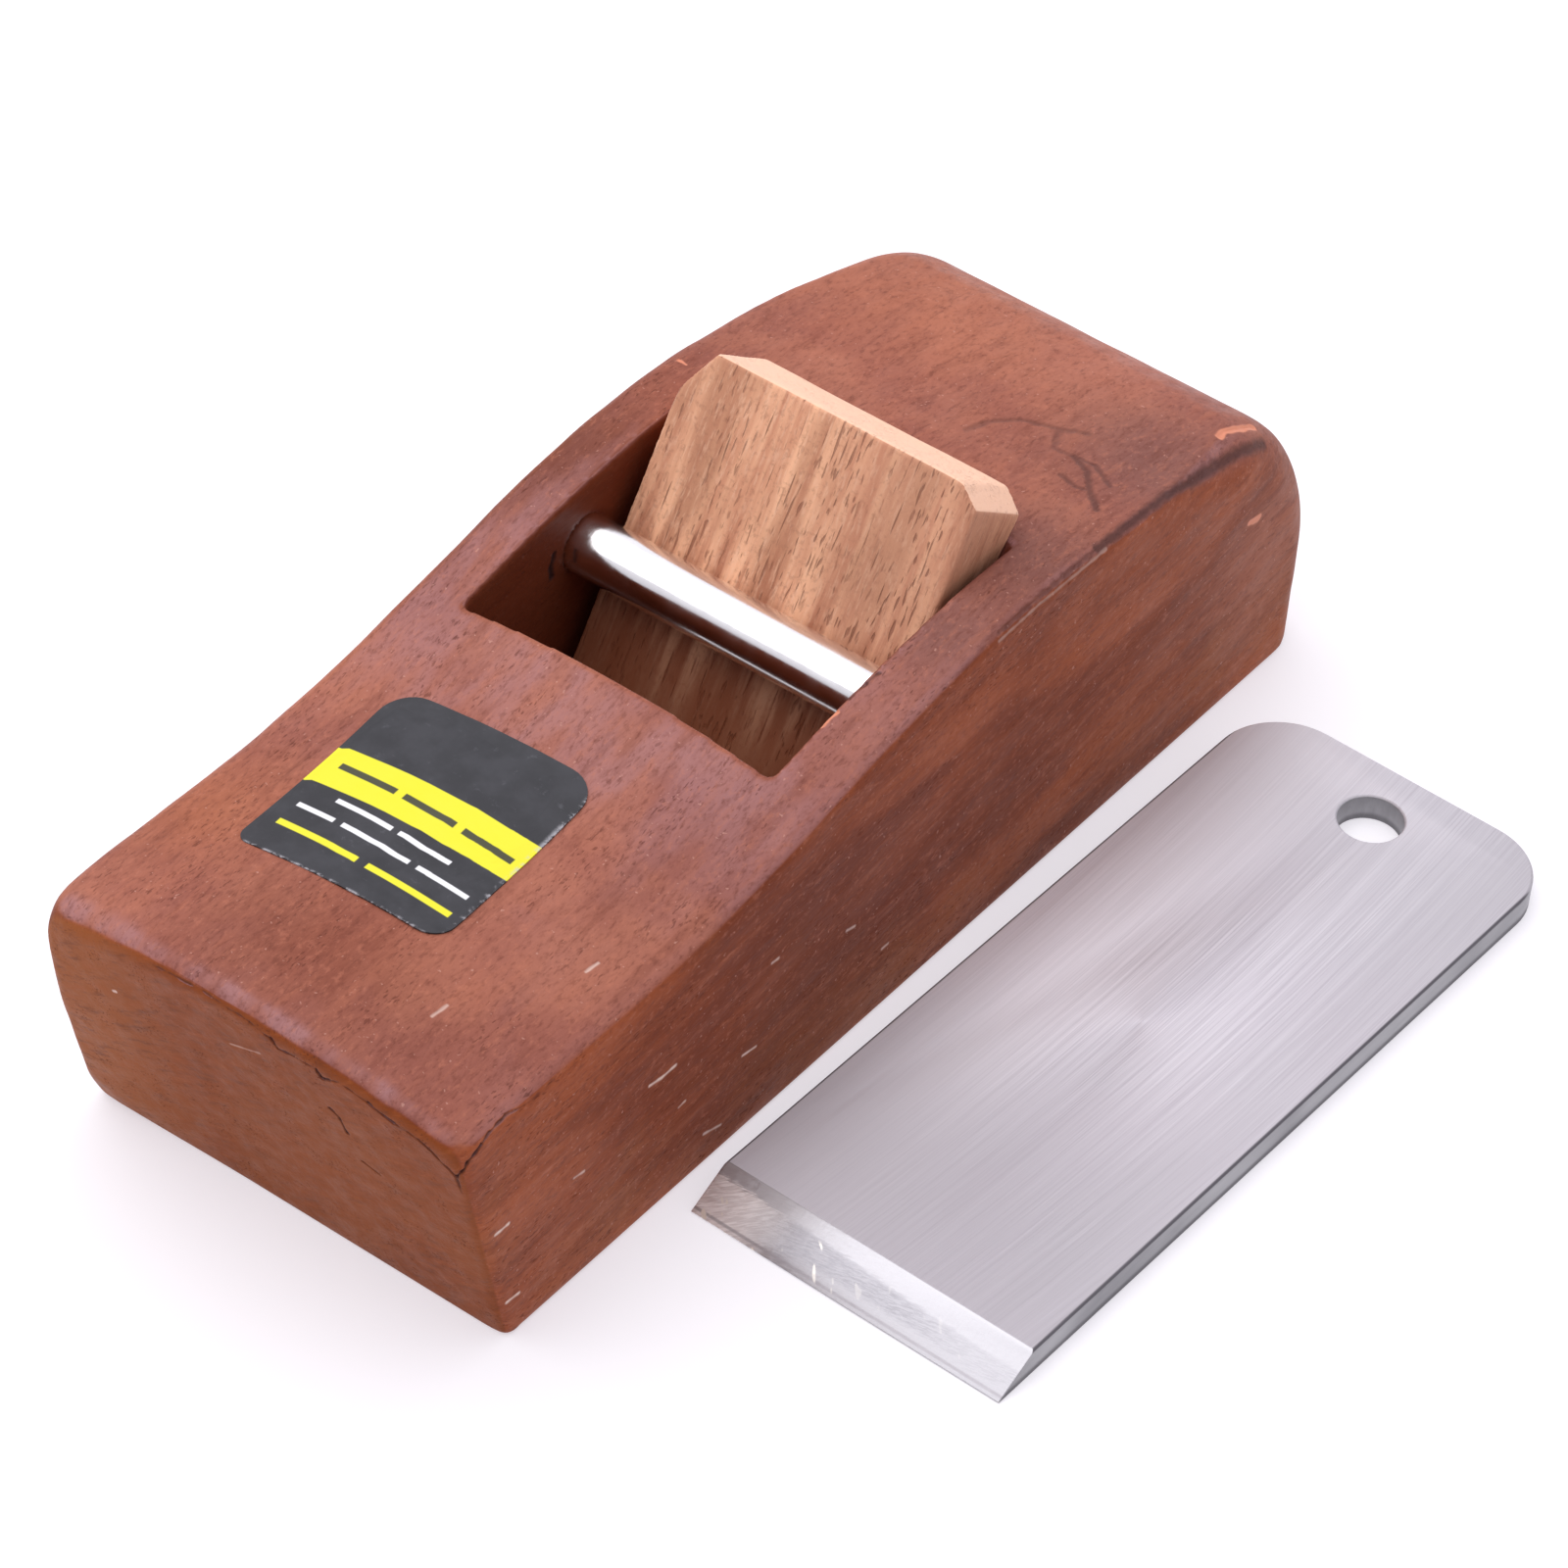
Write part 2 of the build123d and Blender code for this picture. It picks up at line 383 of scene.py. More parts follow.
HEEL_SCRATCHES = [
    ([(3.3, 25.0, 32.2), (3.9, 27.7, 31.7), (5.4, 30.0, 31.3), (8.5, 31.4, 31.1)], 0.3, 0.04, 0.35),
    ([(8.5, 31.4, 31.1), (10.6, 32.8, 30.9)], 0.3, 0.04, 0.35),
    ([(11.8, 28.9, 31.6), (13.9, 27.9, 31.8), (15.5, 25.8, 32.0), (17.6, 23.9, 32.3)], 0.3, 0.05, 0.5),
    ([(15.5, 25.8, 32.0), (14.6, 25.2, 32.1), (12.6, 25.7, 32.1)], 0.25, 0.04, 0.4),
    ([(12.2, 29.0, 31.6), (13.8, 29.2, 31.6), (16.4, 27.6, 31.8)], 0.22, 0.04, 0.4),
    ([(8.5, 31.4, 31.1), (9.9, 28.6, 31.6), (11.8, 28.9, 31.6)], 0.25, 0.03, 0.3),
]
HEEL_LINE = [
    ([(19.6, 47.2, 26.2), (19.8, 42.2, 28.3), (20.0, 38.5, 29.2), (20.2, 34.3, 30.2)], 0.5, 0.06, 0.7),
    ([(20.2, 34.3, 30.2), (20.2, 30.4, 31.2), (20.4, 26.5, 31.8), (20.7, 19.5, 32.6)], 0.38, 0.06, 0.7),
    ([(20.7, 19.5, 32.6), (20.8, 16.4, 32.8), (20.9, 10.7, 33.1), (20.9, 5.2, 32.9)], 0.2, 0.05, 0.4),
    ([(15.9, -8.5, 32.1), (16.2, -5.0, 32.8)], 0.16, 0.12, 0.6),
]
PIN_HOLE_TEAR = [
    ([(-15.7, -6.4, 25.4), (-15.7, -6.7, 26.6), (-15.7, -6.3, 27.8)], 0.3, 0.15, 0.9),
]
CRACKS = TORN_TOE_EDGE + TOE_CORNER_SPLIT + TOE_CHECKS + HEEL_SCRATCHES + HEEL_LINE + PIN_HOLE_TEAR

# Pale specks and scratches: the line, its half width and how pale it is
FLECKS = [
    ([(21.3, -39.8, 15.3), (21.3, -38.2, 15.0), (21.3, -36.5, 15.1)], 0.16, 1.0),
    ([(21.3, -27.2, 9.2), (21.3, -25.4, 8.9)], 0.14, 1.0),
    ([(21.2, -59.1, 13.7), (21.3, -57.5, 13.7)], 0.15, 1.0),
    ([(21.0, -57.0, 4.5), (21.3, -55.6, 4.4)], 0.15, 1.0),
    ([(21.3, -31.8, 3.8), (21.3, -29.5, 3.1)], 0.13, 0.8),
    ([(16.5, -42.9, 26.8), (16.6, -41.5, 26.8)], 0.12, 0.7),
    ([(11.3, -55.4, 27.7), (11.4, -53.7, 27.7)], 0.13, 0.6),
    ([(21.3, -49.2, 12.3), (21.3, -48.0, 12.1)], 0.12, 0.7),
    ([(21.3, -13.6, 13.3), (21.3, -12.5, 13.0)], 0.16, 0.7),
    ([(21.3, -8.0, 7.2), (21.3, -7.2, 7.2)], 0.14, 0.7),
    ([(21.3, -24.1, 17.3), (21.3, -23.3, 17.2)], 0.14, 0.7),
    ([(21.3, -35.6, 9.7), (21.3, -34.8, 9.8)], 0.12, 0.7),
    ([(-14.2, -62.6, 20.2), (-14.0, -62.5, 20.3)], 0.15, 0.9),
    ([(-2.1, -63.1, 22.3), (1.1, -63.5, 23.6)], 0.09, 0.35),
    ([(21.0, 20.5, 32.1), (21.2, 16.0, 32.4), (21.2, 10.4, 32.6), (21.2, 4.9, 32.3)], 0.14, 0.3),
]

# Chips that show fresh wood: the line, its half width and its depth
FRESH_WOOD = [
    ([(18.2, 41.6, 29.5), (18.0, 42.8, 29.3), (18.2, 45.0, 28.4), (18.1, 47.4, 26.8)], 0.36, 0.1),
    ([(21.3, 43.8, 20.3), (21.3, 45.2, 20.0)], 0.36, 0.02),
    ([(15.8, -11.9, 31.3), (15.85, -10.2, 31.8)], 0.26, 0.12),
    ([(-18.9, 15.2, 33.3), (-19.8, 15.3, 33.3)], 0.18, 0.1),
]

# Soft patches of another tint on the sides and on the back: centre, radius, strength and colour. On the back
# the tints are partly the wood's own tone and partly painted light: the grey-lavender ones are painted sheen,
# and the bright orange ones by the heel are painted light from behind.
SIDE_PATCHES = [
    ((21, -18, 13), 22, 0.75, (0.14, 0.03, 0.011)),
    ((21, 8, 12), 16, 0.5, (0.17, 0.04, 0.015)),
    ((21, 48, 15), 14, 0.8, (0.38, 0.13, 0.075)),
    ((21, 28, 8), 12, 0.5, (0.34, 0.09, 0.035)),
    ((21, -52, 8), 14, 0.4, (0.33, 0.085, 0.035)),
    ((-21, 10, 14), 24, 0.6, (0.16, 0.036, 0.014)),
    ((-21, -38, 12), 18, 0.5, (0.33, 0.09, 0.036)),
]
BACK_TINTS_AND_LIGHT = [
    ((0, -57, 28), 15, 0.9, (0.21, 0.063, 0.04)),
    ((-18, -15, 31), 13, 0.6, (0.21, 0.062, 0.038)),
    ((-18, 0, 33), 16, 0.95, (0.15, 0.04, 0.019)),
    ((-18, 14, 33), 12, 0.6, (0.22, 0.068, 0.045)),
    ((17, 2, 33), 10, 0.85, (0.19, 0.085, 0.072)),
    ((18, 14, 33), 12, 0.8, (0.19, 0.085, 0.072)),
    ((17.5, 34, 30), 14, 0.9, (0.2, 0.088, 0.075)),
    ((20, -10, 31), 8, 0.5, (0.4, 0.17, 0.13)),
    ((8, 28, 31), 10, 0.4, (0.25, 0.09, 0.065)),
    ((-12, 40, 29), 20, 0.6, (0.45, 0.16, 0.09)),
    ((6, 46, 27), 12, 0.5, (0.46, 0.165, 0.11)),
    ((-18, -48, 26), 12, 0.7, (0.36, 0.115, 0.055)),
    ((-18, -28, 29), 10, 0.5, (0.36, 0.115, 0.06)),
    ((12, -44, 28), 12, 0.35, (0.38, 0.15, 0.11)),
]

HOLE_WALL = 0.35  # a point this near the pin's surface is on the wall of its hole
PRESS_FIT = 0.03  # how far that wall closes past the pin's surface
BODY_SKIN = 0.3  # size of the body's faces
FINE_SKIN = 0.9  # how far round a mark the faces are made finer


def crisper_toe_corners(points):
    """Draws the toe's two upright corners out from round to nearly square."""
    x, y, z = points.T
    slant = math.cos(TOE_RAKE)
    across = BODY_HALF_WIDTH - abs(x) - TOE_CORNER
    behind = (y + SOLE_HALF_LENGTH + z * math.tan(TOE_RAKE)) * slant - TOE_CORNER
    inside = (across < 0) & (behind < 0)
    roundness = 4.0
    reach = np.hypot(across, behind)
    square = (abs(across) ** roundness + abs(behind) ** roundness) ** (1 / roundness)
    drawn = np.where(inside, reach / np.maximum(square, 1e-6), 1)
    drawn = 1 + (drawn - 1) * step(z, 26, 22)
    points = points.copy()
    points[:, 0] = np.sign(x) * (BODY_HALF_WIDTH - TOE_CORNER - across * drawn)
    points[:, 1] += behind * (drawn - 1) / slant
    return points


def shape_body(piece):
    """Worn edges, a swollen corner at the toe, hand-rubbed hollows, cracks, flecks and chips."""
    make_even(piece, BODY_SKIN)
    low, high = [np.array(corner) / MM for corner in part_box("body")]
    points = points_of(piece.data)
    edges = edges_of(piece.data)
    points = smoothed(points, edges, 1, 6)

    x, y, z = points.T
    from_toe = (y + SOLE_HALF_LENGTH + z * math.tan(TOE_RAKE)) * math.cos(TOE_RAKE)
    below_back = TOE_SIDE_HEIGHT + TOE_CROWN * (1 - (x / BODY_HALF_WIDTH) ** 2) - z
    toe_edge = np.exp(-(from_toe**2 + np.clip(below_back, -3, 30) ** 2) / (2 * 2.0**2)) * (y < -40)
    points = smoothed(points, edges, toe_edge, 12)
    points = smoothed(points, edges, toe_edge * step(x, -8, -19), 90)
    points = crisper_toe_corners(points)

    x, y, z = points.T
    on_toe = step(y, -50, -56) * step(x, -4, -20) * step(z, 28, 14) * step(z, -1.5, 4)
    points[:, 1] -= 1.0 * on_toe

    # The pin is a press fit, so the walls of its hole are drawn in to touch it
    pin_low, pin_high = [np.array(corner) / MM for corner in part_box("cross_pin")]
    axis = (pin_low + pin_high) / 2
    out = points[:, 1:] - axis[1:]
    from_axis = np.linalg.norm(out, axis=1)
    in_hole = (abs(points[:, 0]) > THROAT_HALF_WIDTH + 0.1) & (points[:, 0] < pin_high[0] - 0.1)
    in_hole &= abs(from_axis - PIN_RADIUS) < HOLE_WALL
    drawn_in = (PIN_RADIUS - PRESS_FIT) / np.maximum(from_axis, 0.1)
    points[in_hole, 1:] = axis[1:] + out[in_hole] * drawn_in[in_hole, None]

    place_points(piece.data, points)
    normals = normals_of(piece.data)
    rub = 0.05 * waves(points, 16, 3) + 0.02 * waves(points, 5, 4)
    lift = step(points[:, 2], 0.3, 2.5)
    outside = np.maximum.reduce([abs(points[:, 0]) - 16, -19 - points[:, 1], points[:, 1] - 14])
    points += normals * (rub * lift * step(outside, 0, 3))[:, None]
    place_points(piece.data, points)

    marks = [mark[0] for mark in CRACKS + FLECKS + FRESH_WOOD]
    ways = onto_surface([way_along(line, 0.15) for line in marks], points, normals_of(piece.data))
    for reach in (FINE_SKIN, 0.7 * FINE_SKIN):
        points = points_of(piece.data)
        near = np.zeros(len(points), bool)
        for way in ways:
            near |= distance_to(way, points, reach) < reach
        refine(piece, near)

    points = points_of(piece.data)
    normals = normals_of(piece.data)
    wander = 0.07 * waves(points, 1.1, 5)
    depth = np.zeros(len(points))
    dark = np.zeros(len(points))
    pale = np.zeros(len(points))
    fresh = np.zeros(len(points))
    for (_, half_width, deep, darkness), way in zip(CRACKS, ways):
        gap = distance_to(way, points, 1.5) + wander
        dark = np.maximum(dark, darkness * step(gap, 1.9 * half_width, 0.3 * half_width))
        depth = np.maximum(depth, deep * step(gap, 1.4 * half_width, 0))
    for (_, half_width, paleness), way in zip(FLECKS, ways[len(CRACKS) :]):
        gap = distance_to(way, points, 1.5) + 0.5 * wander
        pale = np.maximum(pale, paleness * step(gap, 1.7 * half_width, 0.2 * half_width))
        depth = np.maximum(depth, 0.04 * step(gap, half_width, 0))
    for (_, half_width, deep), way in zip(FRESH_WOOD, ways[len(CRACKS) + len(FLECKS) :]):
        gap = distance_to(way, points, 2.5) + wander
        fresh = np.maximum(fresh, step(gap, 1.3 * half_width, 0.7 * half_width))
        depth = np.maximum(depth, deep * step(gap, half_width, 0))
    points -= normals * depth[:, None]
    place_points(piece.data, np.clip(points, low, high))
    store(piece, "crack", dark)
    store(piece, "fleck", pale)
    store(piece, "fresh", fresh)
    shade_smooth(piece)


BODY_GRAIN = (3, 0, 2)  # how the body's grain is turned from straight along it
BLACK_PORE = (0.07, 0.018, 0.012)
FRESH_RED = (0.66, 0.25, 0.15)
SPECK = (0.72, 0.53, 0.45)
CRACK_BLACK = (0.035, 0.016, 0.016)
# the colour of the painted shade inside the throat
THROAT_SHADE_BROWN = (0.12, 0.023, 0.009)
# the pale painted sheen on the rolled edges of the back
EDGE_SHEEN_GREY = (0.35, 0.17, 0.17)


def tinted(tree, spot, colour, patches):
    """A colour with soft patches of other tints over it."""
    for centre, radius, strength, tint in patches:
        colour = blend(tree, near_spot(tree, spot, centre, radius, strength), colour, tint)
    return colour


def edge_sheen(tree, figure):
    """Where the toe's rolled edge and the right arris get a pale painted sheen."""
    toe_roll = ramp(tree, facing(tree, (0, -0.55, 0.83)), 0.82, 0.95, 0.0, 0.75)
    arris_roll = ramp(tree, facing(tree, (0.6, 0, 0.8)), 0.88, 0.98, 0.0, 0.5)
    rubbed = calculate(tree, "MAXIMUM", toe_roll, arris_roll)
    patchy = ramp(tree, noise(tree, figure, 0.25, 2), 0.4, 0.6, 0.3, 1.0)
    return calculate(tree, "MULTIPLY", rubbed, patchy)


def throat_shade(tree, across, along, upwards):
    """How much painted shade darkens the wood inside the throat, fading out behind the throat."""
    within = ramp(tree, calculate(tree, "ABSOLUTE", across), THROAT_HALF_WIDTH + 0.5, THROAT_HALF_WIDTH + 0.1)
    within = calculate(tree, "MULTIPLY", within, ramp(tree, along, THROAT_FRONT - 0.5, THROAT_FRONT - 0.2))
    within = calculate(tree, "MULTIPLY", within, ramp(tree, along, 20, 14, 0.0, 0.75))
    return calculate(tree, "MULTIPLY", within, ramp(tree, upwards, 0.9, 0.75))


def toe_end_grain(tree, across, cloud, pore):
    """End grain: orange on the left and browner to the right, with fine slanting lines."""
    slanting = noise(tree, place(tree, turn=(0, -28, 0), size=(5, 1, 1)), 1.6, 4, 0.7)
    toe = blend(tree, ramp(tree, across, -18, -6), (0.28, 0.08, 0.02), (0.21, 0.047, 0.008))
    toe = blend(tree, ramp(tree, slanting, 0.5, 0.3, 0.0, 0.6), toe, (0.12, 0.03, 0.01))
    toe = blend(tree, ramp(tree, slanting, 0.52, 0.7, 0.0, 0.5), toe, (0.3, 0.075, 0.018))
    toe = blend(tree, ramp(tree, cloud, 0.45, 0.65, 0.0, 0.4), toe, (0.25, 0.066, 0.014))
    return blend(tree, calculate(tree, "MULTIPLY", pore, 0.6), toe, (0.07, 0.018, 0.01))


def body_wood():
    material, tree, shader = new_material("body_wood")
    grain = place(tree, turn=BODY_GRAIN, size=(1, 12, 1))
    figure = place(tree, turn=(4, 0, 3), size=(1, 4, 1))
    spot = place(tree)
    across = part_of_place(tree, spot, "X")
    along = part_of_place(tree, spot, "Y")
    upwards = facing(tree, (0, 0, 1))

    broad = noise(tree, figure, 0.11, 3, 0.55, 0.6)
    streak = noise(tree, grain, 0.9, 4, 0.6, 0.3)
    thread = noise(tree, place(tree, turn=BODY_GRAIN, size=(1, 3, 1)), 3.0, 3, 0.6)
    mottle = noise(tree, place(tree, turn=BODY_GRAIN, size=(1, 2, 1)), 2.0, 4, 0.7)
    cloud = noise(tree, spot, 0.06, 3, 0.6)

    # The sides are stained red-brown. The back is paler and lavender-tinted, a painted sheen from the light
    # above, and its rolled edges get the most painted sheen.
    stain = blend(tree, ramp(tree, broad, 0.34, 0.66), (0.18, 0.036, 0.011), (0.33, 0.08, 0.027))
    stain = blend(tree, ramp(tree, cloud, 0.5, 0.7, 0.0, 0.35), stain, (0.34, 0.11, 0.035))
    stain = tinted(tree, spot, stain, SIDE_PATCHES)
    top_with_sheen = blend(tree, ramp(tree, cloud, 0.4, 0.6), (0.28, 0.095, 0.068), (0.37, 0.135, 0.088))
    top_with_sheen = tinted(tree, spot, top_with_sheen, BACK_TINTS_AND_LIGHT)
    colour = blend(tree, ramp(tree, upwards, 0.35, 0.85, 0.0, 0.85), stain, top_with_sheen)
    colour = blend(tree, edge_sheen(tree, figure), colour, EDGE_SHEEN_GREY)

    # Dark and light grain at three sizes
    colour = blend(tree, ramp(tree, streak, 0.5, 0.3, 0.0, 0.3), colour, (0.13, 0.03, 0.017))
    colour = blend(tree, ramp(tree, streak, 0.5, 0.75, 0.0, 0.25), colour, (0.45, 0.15, 0.08))
    colour = blend(tree, ramp(tree, thread, 0.5, 0.3, 0.0, 0.4), colour, (0.12, 0.03, 0.018))
    colour = blend(tree, ramp(tree, mottle, 0.52, 0.7, 0.0, 0.3), colour, (0.5, 0.18, 0.11))
    colour = blend(tree, ramp(tree, mottle, 0.48, 0.3, 0.0, 0.3), colour, (0.15, 0.035, 0.02))

    # Pores lie in patches and are fewer towards the heel, and specks of dust lie all over
    pores = noise(tree, place(tree, turn=BODY_GRAIN, size=(1, 4, 1)), 5.0, 1, 0.5)
    where_pores = ramp(tree, noise(tree, figure, 0.4, 1), 0.45, 0.65, 0.1, 1.0)
    where_pores = calculate(tree, "MULTIPLY", where_pores, ramp(tree, along, 8, 28, 1.0, 0.35))
    pore = calculate(tree, "MULTIPLY", ramp(tree, pores, 0.6, 0.7), where_pores)
    colour = blend(tree, calculate(tree, "MULTIPLY", pore, 0.45), colour, BLACK_PORE)
    dust = ramp(tree, noise(tree, place(tree, shift=(3, 5, 7)), 2.6, 1, 0.5), 0.72, 0.78, 0.0, 0.4)
    colour = blend(tree, dust, colour, (0.6, 0.32, 0.25))

    # Painted shade inside the throat
    colour = blend(tree, throat_shade(tree, across, along, upwards), colour, THROAT_SHADE_BROWN)
    on_toe = ramp(tree, facing(tree, (0, -0.96, -0.27)), 0.62, 0.85, 0.0, 0.95)
    colour = blend(tree, on_toe, colour, toe_end_grain(tree, across, cloud, pore))
    colour = blend(tree, stored(tree, "crack"), colour, CRACK_BLACK)
    colour = blend(tree, stored(tree, "fleck"), colour, SPECK)
    colour = blend(tree, stored(tree, "fresh"), colour, FRESH_RED)
    put(tree, shader.inputs["Base Color"], colour)

    rough = ramp(tree, noise(tree, figure, 0.6, 3, 0.6), 0.3, 0.7, 0.42, 0.58)
    rough = calculate(tree, "ADD", rough, calculate(tree, "MULTIPLY", pore, 0.25))
    put(tree, shader.inputs["Roughness"], rough)
    shader.inputs["Sheen Weight"].default_value = 0.01
    shader.inputs["Sheen Roughness"].default_value = 0.45
    shader.inputs["Sheen Tint"].default_value = (0.86, 0.82, 1.0, 1)
    shader.inputs["Specular IOR Level"].default_value = 0.1

    grainy = bump(tree, streak, 0.04)
    grainy = bump(tree, thread, 0.03, grainy)
    grainy = bump(tree, calculate(tree, "SUBTRACT", 1.0, pore), 0.02, grainy)
    put(tree, shader.inputs["Normal"], grainy)
    return material


wood_body = copy_of("body", "wood_body")
shape_body(wood_body)
wood_body.data.materials.append(body_wood())
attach(wood_body, "plane_body")
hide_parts("body")


# ---------------------------------------------------------------- wedge


def shape_wedge(piece):
    make_even(piece, 0.2)
    low, high = [np.array(corner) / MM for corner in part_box("wedge")]
    points = points_of(piece.data)
    points = smoothed(points, edges_of(piece.data), 1, 3)
    place_points(piece.data, points)
    points += normals_of(piece.data) * (0.03 * waves(points, 7, 8) - 0.02)[:, None]
    place_points(piece.data, np.clip(points, low, high))
    shade_smooth(piece)


def wedge_wood():
    material, tree, shader = new_material("wedge_wood")
    lean = BED_ANGLE + WEDGE_TAPER
    grain = place(tree, turn=(lean, 0, 0), size=(1, 14, 1))
    figure = place(tree, turn=(lean, 0, 0), size=(1, 6, 1))

    streak = noise(tree, grain, 0.7, 4, 0.6, 0.2)
    thread = noise(tree, figure, 3.5, 3, 0.6)
    broad = noise(tree, figure, 0.16, 2, 0.5, 0.4)
    mottle = noise(tree, place(tree), 2.2, 3, 0.6)
    colour = blend(tree, ramp(tree, streak, 0.3, 0.7), (0.6, 0.26, 0.15), (0.91, 0.5, 0.3))
    colour = blend(tree, ramp(tree, broad, 0.56, 0.4, 0.0, 0.6), colour, (0.4, 0.165, 0.09))
    colour = blend(tree, ramp(tree, thread, 0.5, 0.7, 0.0, 0.4), colour, (0.85, 0.52, 0.35))
    colour = blend(tree, ramp(tree, mottle, 0.5, 0.3, 0.0, 0.35), colour, (0.33, 0.14, 0.08))

    # Short pores crowd the right half most, and a few long ones run up the whole face
    across = part_of_place(tree, place(tree), "X")
    colour = blend(tree, ramp(tree, across, -1, 9, 0.0, 0.35), colour, (0.45, 0.21, 0.13))
    crowded = ramp(tree, across, -6, 6, 0.75, 1.0)
    patchy = ramp(tree, noise(tree, figure, 0.3, 1), 0.38, 0.6, 0.3, 1.0)
    short = noise(tree, place(tree, turn=(lean, 0, 0), size=(1, 6, 1)), 3.2, 1, 0.5)
    pore = calculate(tree, "MULTIPLY", ramp(tree, short, 0.6, 0.7), crowded)
    pore = calculate(tree, "MULTIPLY", pore, patchy)
    long = noise(tree, place(tree, turn=(lean, 0, 0), size=(1, 16, 1), shift=(4, 2, 9)), 2.6, 1, 0.5)
    pore = calculate(tree, "MAXIMUM", pore, ramp(tree, long, 0.68, 0.75, 0.0, 0.9))
    colour = blend(tree, calculate(tree, "MULTIPLY", pore, 0.65), colour, (0.2, 0.07, 0.04))

    # Its lower half, down in the throat, is darkened with painted shade
    height = part_of_place(tree, place(tree), "Z")
    height = calculate(tree, "ADD", height, ramp(tree, streak, 0.3, 0.7, -3, 3))
    colour = blend(tree, ramp(tree, height, 30, 18, 0.0, 0.85), colour, (0.2, 0.048, 0.016))

    up_bed = math.radians(BED_ANGLE)
    end_grain = ramp(tree, facing(tree, (0, math.cos(up_bed), math.sin(up_bed))), 0.4, 0.65, 0.0, 0.85)
    colour = blend(tree, end_grain, colour, (0.95, 0.6, 0.42))
    put(tree, shader.inputs["Base Color"], colour)
    put(tree, shader.inputs["Roughness"], ramp(tree, streak, 0.3, 0.7, 0.5, 0.68))
    shader.inputs["Specular IOR Level"].default_value = 0.25

    grainy = bump(tree, streak, 0.05)
    grainy = bump(tree, thread, 0.03, grainy)
    grainy = bump(tree, calculate(tree, "SUBTRACT", 1.0, pore), 0.08, grainy)
    put(tree, shader.inputs["Normal"], grainy)
    return material


wood_wedge = copy_of("wedge", "wood_wedge")
shape_wedge(wood_wedge)
wood_wedge.data.materials.append(wedge_wood())
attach(wood_wedge, "wedge")
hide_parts("wedge")


# ---------------------------------------------------------------- cross pin


def shape_pin(name):
    """A rod along X with rounded ends, turned from a profile of places along it and radii."""
    low, high = [np.array(corner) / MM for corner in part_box("cross_pin")]
    centre = (low + high) / 2
    left_end = [(low[0], 0.0)]
    for angle in np.radians([0, 30, 60, 90]):
        inset = PIN_EASE * (1 - math.cos(angle))
        left_end.append((low[0] + inset, PIN_RADIUS - PIN_EASE * (1 - math.sin(angle))))
    left_end.append((low[0] + 2 * PIN_EASE, PIN_RADIUS))
    right_end = [(low[0] + high[0] - along, radius) for along, radius in reversed(left_end)]
    work = bmesh.new()
    turned = []
    for along, radius in left_end + right_end:
        turned.append(work.verts.new(Vector((along, centre[1], centre[2] + radius)) * MM))
    for first, second in zip(turned[:-1], turned[1:]):
        work.edges.new((first, second))
    bmesh.ops.spin(
        work,
        geom=work.verts[:] + work.edges[:],
        cent=Vector(centre) * MM,
        axis=(1, 0, 0),
        angle=2 * math.pi,
        steps=96,
    )
    bmesh.ops.remove_doubles(work, verts=work.verts, dist=0.001 * MM)
    bmesh.ops.recalc_face_normals(work, faces=work.faces)
    mesh = bpy.data.meshes.new(name)
    work.to_mesh(mesh)
    work.free()
    piece = bpy.data.objects.new(name, mesh)
    scene.collection.objects.link(piece)
    shade_smooth(piece)
    return piece


def pin_steel():
    material, tree, shader = new_material("pin_steel")
    rings = place(tree, size=(1, 30, 30))
    line = noise(tree, rings, 5, 3, 0.6)
    smudge = noise(tree, place(tree), 0.35, 3, 0.6)
    colour = blend(tree, ramp(tree, smudge, 0.4, 0.7), (0.9, 0.89, 0.89), (0.96, 0.955, 0.95))
    rough = ramp(tree, smudge, 0.35, 0.7, 0.13, 0.22)

    # The cut ends are duller than the drawn length
    scoring = noise(tree, place(tree, size=(1, 1, 5)), 3, 3, 0.7)
    cut_end = ramp(tree, calculate(tree, "ABSOLUTE", facing(tree, (1, 0, 0))), 0.5, 0.9)
    dull = blend(tree, ramp(tree, scoring, 0.35, 0.65), (0.34, 0.33, 0.34), (0.5, 0.49, 0.5))
    put(tree, shader.inputs["Base Color"], blend(tree, cut_end, colour, dull))
    rough = calculate(tree, "ADD", rough, calculate(tree, "MULTIPLY", cut_end, 0.3))
    shader.inputs["Metallic"].default_value = 1.0
    put(tree, shader.inputs["Roughness"], rough)
    put(tree, shader.inputs["Normal"], bump(tree, line, 0.004))
    return material


steel_pin = shape_pin("steel_pin")
steel_pin.data.materials.append(pin_steel())
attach(steel_pin, "plane_body")
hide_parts("cross_pin")


# ---------------------------------------------------------------- iron


def shape_iron(piece):
    """Small worn edges all round, with the flat faces left flat."""
    work = bmesh.new()
    work.from_mesh(piece.data)
    bmesh.ops.dissolve_limit(
        work, angle_limit=math.radians(0.3), use_dissolve_boundaries=False, verts=work.verts, edges=work.edges
    )
    work.to_mesh(piece.data)
    work.free()
    worn = piece.modifiers.new("worn", "BEVEL")
    worn.width = 0.06 * MM
    worn.segments = 2
    worn.limit_method = "ANGLE"
    worn.angle_limit = math.radians(25)
    apply_modifiers(piece)
    shade_smooth(piece, 20)


EDGE_GREY = (0.15, 0.14, 0.155)


def grinding_lines(tree, across, along, height):
    """Where the flat's grinding lines run: lengthwise, and curving a little."""
    curve = calculate(tree, "MULTIPLY", calculate(tree, "MULTIPLY", along, along), 0.0011)
    lines_at = tree.nodes.new("ShaderNodeCombineXYZ")
    put(tree, lines_at.inputs["X"], calculate(tree, "ADD", across, curve))
    put(tree, lines_at.inputs["Y"], calculate(tree, "MULTIPLY", along, 1 / 140))
    put(tree, lines_at.inputs["Z"], calculate(tree, "MULTIPLY", height, 0.3))
    return lines_at.outputs["Vector"]


